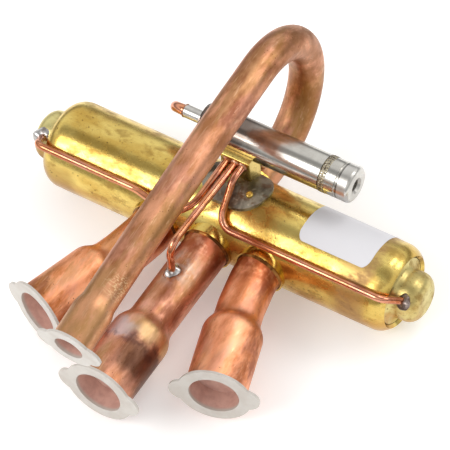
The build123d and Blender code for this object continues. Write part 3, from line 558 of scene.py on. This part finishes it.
# ---- pilot valve ---------------------------------------------------------------
# A thin stainless tube holds the plunger and the little slide. Its right end is
# crimped and welded round the fixed core, which is tapped for the coil's screw. The
# tube is burnt brown by the block and grey where it is welded. Its lower side is
# painted brown as a reflection of the copper under it.
stainless, colour = steel("stainless", "cfccc4", "b0aca4", 0.13)
burnt = stainless.place("X").ramp(12 * MM, -1 * MM) * stainless.noise(12.0, 4.0).ramp(0.20, 0.48)
# Painted reflection: the tube's lower side is tinted brown for the copper that it mirrors below.
below = stainless.place("Z").ramp(29 * MM, 25 * MM)
painted_copper_reflection = below * stainless.noise(9.0, 4.0, shift=7.0).ramp(0.35, 0.6)
seam = stainless.place("X").ramp(43.8 * MM, 44.2 * MM)
colour = stainless.mix(burnt * 0.80, colour, tone("5c4133"))
colour = stainless.mix(painted_copper_reflection * 0.35, colour, tone("9a765a"))
colour = stainless.mix(seam * 0.7, colour, tone("4a4642"))
dress(stainless.surface(Base_Color=colour), "pilot_tube")

core, colour = steel("core_steel", "d4d1cb", "aaa69e", 0.24)
core_steel = core.surface(Base_Color=colour)
dress(core_steel, "pilot_core", "pilot_plunger", "pilot_end_stub")
ring_copper, colour = copper("ring_copper", "f0aa84", "c98a66")
dress(ring_copper.surface(Base_Color=colour), "pilot_shading_ring")

pilot_r, band_middle, dimples = 7.6, 37.5, 44


def punched_band(turn, loop):
    """A flat band 2.7 mm wide that stands 0.12 mm proud, with two rows of punched dimples.

    The section is a rounded square, cos and sin each raised to 0.4. A dimple takes up to 0.20 mm
    off the outside, as (cos of 44 times the turn) * (sin of pi times the place across the band),
    the two rows half a step apart.
    """
    out, up = np.cos(loop), np.sin(loop)
    out, up = np.sign(out) * np.abs(out) ** 0.4, np.sign(up) * np.abs(up) ** 0.4
    row = np.where(up > 0, 0.0, np.pi)
    dimple = np.clip(np.cos(dimples * turn + row), 0, 1) * np.abs(np.sin(np.pi * up)) * (out > 0)
    return pilot_r - 0.08 + 0.2 * out - 0.20 * dimple, 1.35 * up


punched = Finish("punched_band")
grime = punched.noise(0.7, 3.0).ramp(0.42, 0.62)
colour = punched.mix(grime, tone("b3a990"), tone("5e5446"))
punched_steel = punched.surface(Base_Color=colour, Metallic=1.0, Roughness=0.34 + 0.2 * grime,
                                Normal=punched.bump(punched.noise(0.5, 2.0), 0.6))
carry_round("pilot_punched_band", (band_middle, pilot_y, pilot_z), (1, 0, 0), punched_band,
            punched_steel, "stainless", around=12 * dimples, steps=48)


def wind(turn, radius, along, backwards=False):
    """A closed section carried round the pilot's axis and shut at both ends, in millimetres.

    turn has a row for each step. radius and along have a column for each point of the section:
    how far from the axis it is, and how far along it. backwards says that it is carried towards
    -X, where faces made in the usual order would look inwards.
    """
    points = np.stack([along, pilot_y + radius * np.cos(turn), pilot_z + radius * np.sin(turn)], -1)
    spot = np.arange(along.size).reshape(along.shape)
    near, far = spot[:-1], spot[1:]
    faces = np.stack([near, far, np.roll(far, -1, 1), np.roll(near, -1, 1)], -1).reshape(-1, 4)
    ends = np.stack([spot[0], spot[-1][::-1]])
    if backwards:
        faces, ends = faces[:, [0, 3, 2, 1]], ends[:, ::-1]
    return points.reshape(-1, 3), faces.tolist() + ends.tolist()


def core_thread(turns, pitch, mouth, hole_r, depth):
    """The ridge of the core's thread: a triangle carried along a helix in from the hole's mouth.

    A point is mouth - pitch * turn / 2 pi along the axis and hole_r - ridge from it. The ridge
    rises to depth at the triangle's crest and is 0.8 of a pitch wide at its foot. It grows from
    next to nothing over the first half turn and dies away over the last.
    """
    turn = np.linspace(0, turns * 2 * np.pi, turns * 40 + 1)[:, None]
    ridge, foot = np.array([[0.0, depth, 0.0]]), np.array([[-0.4, 0.0, 0.4]]) * pitch
    fade = np.clip(np.minimum(turn, turns * 2 * np.pi - turn) / np.pi, 0.02, 1)
    along = mouth - pitch * turn / (2 * np.pi) + foot * fade
    return wind(turn, hole_r - ridge * fade, along, backwards=True)


cover("core_thread", *core_thread(turns=7, pitch=1.27, mouth=48.2, hole_r=2.62, depth=0.5),
      core_steel, "stainless")


def coil_wire(left, right, radius, wire, turns):
    """Round wire carried along a helix between left and right.

    The wire's middle goes along the axis by the length left free per turn, radius from it. The
    section is wire across: its points stand off by cos loop outwards and sin loop along the axis.
    """
    turn = np.linspace(0, turns * 2 * np.pi, turns * 32 + 1)[:, None]
    loop = np.arange(10)[None, :] * 2 * np.pi / 10
    middle = left + wire / 2 + (right - left - wire) * turn / turn[-1]
    return wind(turn, radius + wire / 2 * np.cos(loop), middle + wire / 2 * np.sin(loop))


# The return spring is wound of round steel wire. Its right end is held by the fixed
# core.
spring_low, spring_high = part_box("pilot_spring")
spring_left, spring_right, plunger_travel = spring_low.x / MM, spring_high.x / MM, 3.5
spring = cover("return_spring",
               *coil_wire(spring_left, spring_right, radius=2.35, wire=0.7, turns=6),
               plain_steel, "spring_steel")
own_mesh(spring)
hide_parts("pilot_spring")


# ---- label ---------------------------------------------------------------------
# A bare white paper label with rounded corners, stuck over the top and back of the
# barrel once it has cooled. Its face is a little glossy and shows a faint fibre.
label_paper = Finish("label_paper")
fibre = label_paper.noise(0.6, 3.0)
colour = label_paper.mix(label_paper.noise(18.0, 2.0) * 0.35, tone("dbdadd"), tone("cfccd0"))
dress(label_paper.surface(Base_Color=colour, Roughness=0.42 + 0.1 * fibre,
                          Normal=label_paper.bump(fibre, 0.06)), "label")


# ---- shipping plugs ------------------------------------------------------------
# Thin milky polythene cups pushed into the four mouths. The pink of the copper that
# would show through them is painted on their inner faces.
mounts = {mount["name"]: mount for mount in frame["record"]["mounts"]}


def polythene(name, mount, inside, deep):
    """Milky white; the copper's pink that shows through is painted on the cup's inner faces.

    Those lie inside millimetres from the mouth's axis and down to deep millimetres below it.
    """
    made = Finish(name)
    from_mouth = made.node("ShaderNodeVectorMath", {"operation": "SUBTRACT"},
                           {0: made.place(), 1: mount["pos_m"]})
    ahead = made.node("ShaderNodeVectorMath", {"operation": "DOT_PRODUCT"},
                      {0: from_mouth, 1: mount["axis"]}, "Value")
    away = made.node("ShaderNodeVectorMath", {"operation": "LENGTH"}, {0: from_mouth}, "Value")
    off = away.maths("MAXIMUM", away * away - ahead * ahead, 0.0) ** 0.5
    # Painted show-through: the inner faces are tinted with the pink of the copper seen through the
    # plastic.
    painted_copper_show_through = (ahead.band(-deep - 0.6, -deep - 0.2, -0.9, 0.7, MM)
              * off.ramp((inside + 0.6) * MM, (inside + 0.2) * MM))
    haze = made.noise(7.0, 4.0).ramp(0.35, 0.65)
    show_through_mottle = made.noise(3.0, 4.0, shift=5.0).ramp(0.35, 0.65)
    colour = made.mix(haze * 0.6, tone("cbc5bd"), tone("bdb3a9"))
    colour = made.mix(painted_copper_show_through * 0.85, colour, made.mix(show_through_mottle, tone("deb0a0"), tone("cc9a8b")))
    return made.surface(Base_Color=colour, Roughness=0.30 + 0.1 * haze, Subsurface_Weight=0.15,
                        Subsurface_Radius=[3 * MM] * 3, Transmission_Weight=0.12)


for name, mount, inside, deep in (
        ("suction", "suction_port", 10.1, 8.0), ("coil_left", "coil_port_left", 10.1, 8.0),
        ("coil_right", "coil_port_right", 10.1, 8.0), ("discharge", "discharge_port", 6.2, 6.0)):
    dress(polythene("polythene_" + name, mounts[mount], inside, deep), name + "_plug")
